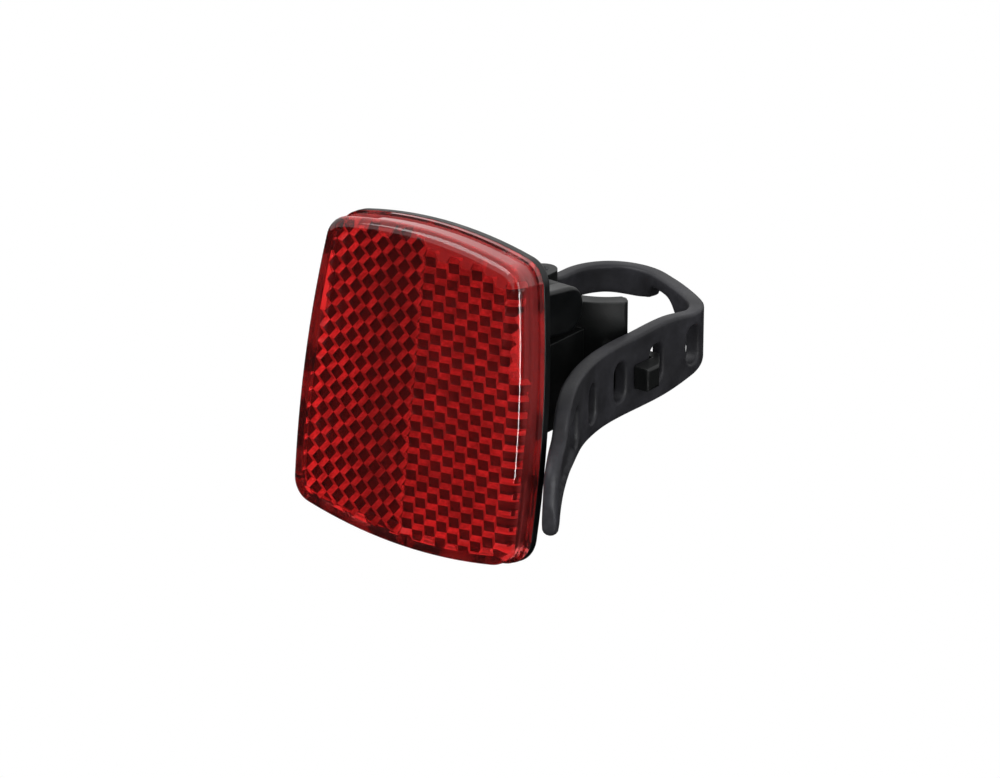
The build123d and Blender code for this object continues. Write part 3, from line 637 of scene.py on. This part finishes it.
def red_acrylic():
    """Clear plastic: the transmitted share is 1 less the haze and less the greatest of the facets',
    the side walls' and the flat margins' scattered shares. The normal is turned outwards first,
    because inside the plastic a face shows its back."""
    material, tree = new_material("red acrylic")
    place = add(tree, "TexCoord")
    outward = add(tree, "MapRange", {"To Min": 1.0, "To Max": -1.0},
                  {"Value": add(tree, "NewGeometry").outputs["Backfacing"]}).outputs[0]
    normal = add(tree, "VectorMath", {}, {0: place.outputs["Normal"], "Scale": outward},
                 operation="SCALE").outputs[0]
    backward, sideways = (
        add(tree, "VectorMath", {1: way}, {0: normal}, operation="DOT_PRODUCT").outputs["Value"]
        for way in (REAR, ASIDE))
    level = add(tree, "Math", {1: 1.0, 2: SLACK}, {0: backward}, operation="COMPARE").outputs[0]
    margin = add(tree, "Math", {1: MARGIN_SHARE}, {0: level}, operation="MULTIPLY").outputs[0]
    shining = shining_facets(tree, backward, sideways)
    # dark is painted shade on the shining facets, where their painted light falls short of full
    dark = add(tree, "Math", {0: 1.0}, {1: painted_facet_light(tree, place.outputs["Object"])},
               operation="SUBTRACT", use_clamp=True).outputs[0]
    dark = add(tree, "Math", {}, {0: dark, 1: shining}, operation="MULTIPLY").outputs[0]
    scattered = add(tree, "Math", {1: FACET_SHARE}, {0: shining}, operation="MULTIPLY").outputs[0]
    for share in (side_walls(tree, backward, normal, place.outputs["Object"]), margin):
        scattered = add(tree, "Math", {}, {0: scattered, 1: share}, operation="MAXIMUM").outputs[0]
    clear = add(tree, "Math", {0: 1.0 - HAZE_SHARE}, {1: scattered}, operation="SUBTRACT").outputs[0]
    colour = add(tree, "Mix", {FIRST: linear(BRIGHT_RED), SECOND: linear(PAINTED_SHADE_RED)}, {0: dark},
                 data_type="RGBA")
    shader = add(tree, "BsdfPrincipled", {"IOR": ACRYLIC_IOR, "Roughness": 0.0},
                 {"Base Color": colour.outputs[BLEND], "Transmission Weight": clear})
    add(tree, "OutputMaterial", {}, {"Surface": shader.outputs[0]})
    return material


# %% [markdown]
# ## Moulded black plastics
# The housing is ABS and the bracket glass-filled nylon. Both come from a mould whose face was
# eroded by sparks, so they carry a fine pebble grain and shine softly. The real grain is about a
# tenth of a millimetre, finer than a pixel of the picture, so it is drawn three times as coarse.
# The edges are paler, a painted highlight along them. The edge is found by the Bevel node, whose
# normal leans over where two faces meet, and the same normal also rounds the edge for the light.

# %% Soft edges and grain
# Cosines between the averaged and the own normal on a face and on an edge
FACE_AGREES, EDGE_AGREES = 0.985, 0.80


def softened(tree, reach):
    """Normal averaged within reach metres, and a value of 0 on a face and 1 on an edge. On an edge
    the averaged normal leans away from the surface's own, and their dot product drops from 1."""
    soft = add(tree, "Bevel", {"Radius": reach}, samples=6).outputs[0]
    own = add(tree, "NewGeometry").outputs["Normal"]
    agree = add(tree, "VectorMath", {}, {0: soft, 1: own}, operation="DOT_PRODUCT").outputs["Value"]
    on_edge = add(tree, "MapRange", {"From Min": FACE_AGREES, "From Max": EDGE_AGREES}, {"Value": agree})
    return soft, on_edge.outputs[0]


def grained(tree, place, size, depth, base_normal=None):
    """Normal of a pebbled face: bumps of this size and depth in metres over the base normal, or
    over the surface's own."""
    pebbles = add(tree, "TexNoise", {"Scale": 1 / size, "Detail": 3.0}, {"Vector": place})
    links = {"Height": pebbles.outputs[0]}
    if base_normal:
        links["Normal"] = base_normal
    return add(tree, "Bump", {"Strength": 1.0, "Distance": depth}, links).outputs[0]


# %% A moulded plastic
PLASTIC_IOR, PLASTIC_SHINE = 1.5, 0.35
# The edges' paler colour is a painted highlight: the reach that finds edges, its patches and their least
# strength
EDGE_REACH, HIGHLIGHT_PATCH, LEAST_HIGHLIGHT = 0.35 * MM, 2.5 * MM, 0.3
MELT_FLOW, SMOOTHER, ROUGHER = 6 * MM, 0.85, 1.2


def moulded(name, face, edge, roughness, grain, depth):
    """A moulded plastic: the face's colour turns to the edge's on edges, as a painted highlight, its
    roughness wanders by a fifth with the flow of the melt, and its grain is a bump."""
    material, tree = new_material(name)
    place = add(tree, "TexCoord").outputs["Object"]
    # The paler edge colour below is a painted highlight, broken into patches
    soft, painted_edge_highlight = softened(tree, EDGE_REACH)
    patchy_edge_highlight = add(tree, "Math", {}, {0: painted_edge_highlight, 1: cloudy(tree, place, HIGHLIGHT_PATCH, LEAST_HIGHLIGHT, 1.0)},
                 operation="MULTIPLY").outputs[0]
    colour = add(tree, "Mix", {FIRST: linear(face), SECOND: linear(edge)}, {0: patchy_edge_highlight}, data_type="RGBA")
    shader = add(tree, "BsdfPrincipled", {"IOR": PLASTIC_IOR, "Specular IOR Level": PLASTIC_SHINE}, {
        "Base Color": colour.outputs[BLEND],
        "Roughness": cloudy(tree, place, MELT_FLOW, SMOOTHER * roughness, ROUGHER * roughness),
        "Normal": grained(tree, place, grain, depth, soft)})
    add(tree, "OutputMaterial", {}, {"Surface": shader.outputs[0]})
    return material


# %% [markdown]
# ## Silicone and rubber
# Silicone comes out of a polished mould with a soft satin skin, and it holds dust, so it looks a
# little grey and uneven. The pad's rubber is duller and coarser. Both are the same graph with
# other numbers: two close greys that drift into each other, a painted highlight on ridges and rims, and a
# grain.

# %% An elastic moulding
SILICONE_IOR, SILICONE_SHINE = 1.41, 0.4
# Ridges and rims carry a painted highlight: the reach that finds them and how much of its colour they
# take
RIDGE_REACH, RIDGE_SHARE = 0.5 * MM, 0.8
DUST_FINER, LEAST_DUST = 7, 0.5
SLEEKER, DULLER = 0.88, 1.1


def elastic(name, dark, pale, ridge_highlight, drift, roughness, grain, depth):
    """A soft moulding: two greys drift into each other over this length, with a finer drift on
    top, ridges and rims get a paler painted highlight, and the grain is a bump of this size and depth in
    metres."""
    material, tree = new_material(name)
    place = add(tree, "TexCoord").outputs["Object"]
    _, on_edge = softened(tree, RIDGE_REACH)
    # Ridges and rims take the paler colour as a painted highlight
    painted_ridge_highlight = add(tree, "Math", {1: RIDGE_SHARE}, {0: on_edge}, operation="MULTIPLY").outputs[0]
    wide = cloudy(tree, place, drift, 0.0, 1.0)
    fine = cloudy(tree, place, drift / DUST_FINER, LEAST_DUST, 1.0)
    dusty = add(tree, "Math", {}, {0: wide, 1: fine}, operation="MULTIPLY").outputs[0]
    skin = add(tree, "Mix", {FIRST: linear(dark), SECOND: linear(pale)}, {0: dusty}, data_type="RGBA")
    skin = add(tree, "Mix", {SECOND: linear(ridge_highlight)}, {0: painted_ridge_highlight, FIRST: skin.outputs[BLEND]},
               data_type="RGBA")
    shader = add(tree, "BsdfPrincipled", {"IOR": SILICONE_IOR, "Specular IOR Level": SILICONE_SHINE}, {
        "Base Color": skin.outputs[BLEND],
        "Roughness": cloudy(tree, place, drift / 2, SLEEKER * roughness, DULLER * roughness),
        "Normal": grained(tree, place, grain, depth)})
    add(tree, "OutputMaterial", {}, {"Surface": shader.outputs[0]})
    return material


# %% [markdown]
# ## Zinc-plated steel
# The screw and its washer are steel with a thin bright layer of zinc, passivated to a cool grey.
# The layer is slightly uneven, so its gloss wanders. The pin that holds the strap sits in the
# weather and has gone dull, with a darker skin.

# %% A plated metal
STAIN, DULLEST = 1.1 * MM, 1.6
PLATED_REACH, PLATED_GRAIN, PLATED_DEPTH = 0.12 * MM, 0.25 * MM, 0.004 * MM


def plated(name, bright, dull, roughness):
    """A metal whose colour and roughness wander together over about a millimetre."""
    material, tree = new_material(name)
    place = add(tree, "TexCoord").outputs["Object"]
    soft, _ = softened(tree, PLATED_REACH)
    stain = cloudy(tree, place, STAIN, 0.0, 1.0)
    colour = add(tree, "Mix", {FIRST: linear(bright), SECOND: linear(dull)}, {0: stain}, data_type="RGBA")
    gloss = add(tree, "MapRange", {"To Min": roughness, "To Max": DULLEST * roughness}, {"Value": stain})
    shader = add(tree, "BsdfPrincipled", {"Metallic": 1.0}, {
        "Base Color": colour.outputs[BLEND],
        "Roughness": gloss.outputs[0],
        "Normal": grained(tree, place, PLATED_GRAIN, PLATED_DEPTH, soft)})
    add(tree, "OutputMaterial", {}, {"Surface": shader.outputs[0]})
    return material


# %% Every node and piece gets its finish
zinc_steel = plated("zinc steel", bright="#c2c5c8", dull="#9a9ea1", roughness=0.22)
finishes = {
    "lens": red_acrylic(),
    # Each plastic's edge colour is a painted highlight
    "reflector_housing": moulded("black abs", face="#050708", edge="#39403c", roughness=0.38,
                                 grain=0.35 * MM, depth=0.010 * MM),
    "bracket_base": moulded("black nylon", face="#0b0d0d", edge="#2b302e", roughness=0.46,
                            grain=0.30 * MM, depth=0.012 * MM),
    "tilt_screw": zinc_steel,
    "tilt_washer": zinc_steel,
    "anchor_pin": plated("weathered zinc steel", bright="#3a3c3e", dull="#232425", roughness=0.45),
}
for name, material in finishes.items():
    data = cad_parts[name].data
    data.materials.clear()
    data.materials.append(material)
    print(name, "in", material.name, "on", len(data.polygons), "triangles")
# The strap's and the pad's ridge colours are painted highlights
strap.data.materials.append(elastic(
    "strap silicone", dark="#1f1f22", pale="#323237", ridge_highlight="#4c4c51", drift=9 * MM, roughness=0.52,
    grain=0.22 * MM, depth=0.008 * MM))
pad.data.materials.append(elastic(
    "pad rubber", dark="#131314", pale="#1f1f20", ridge_highlight="#29292b", drift=6 * MM, roughness=0.78,
    grain=0.40 * MM, depth=0.020 * MM))
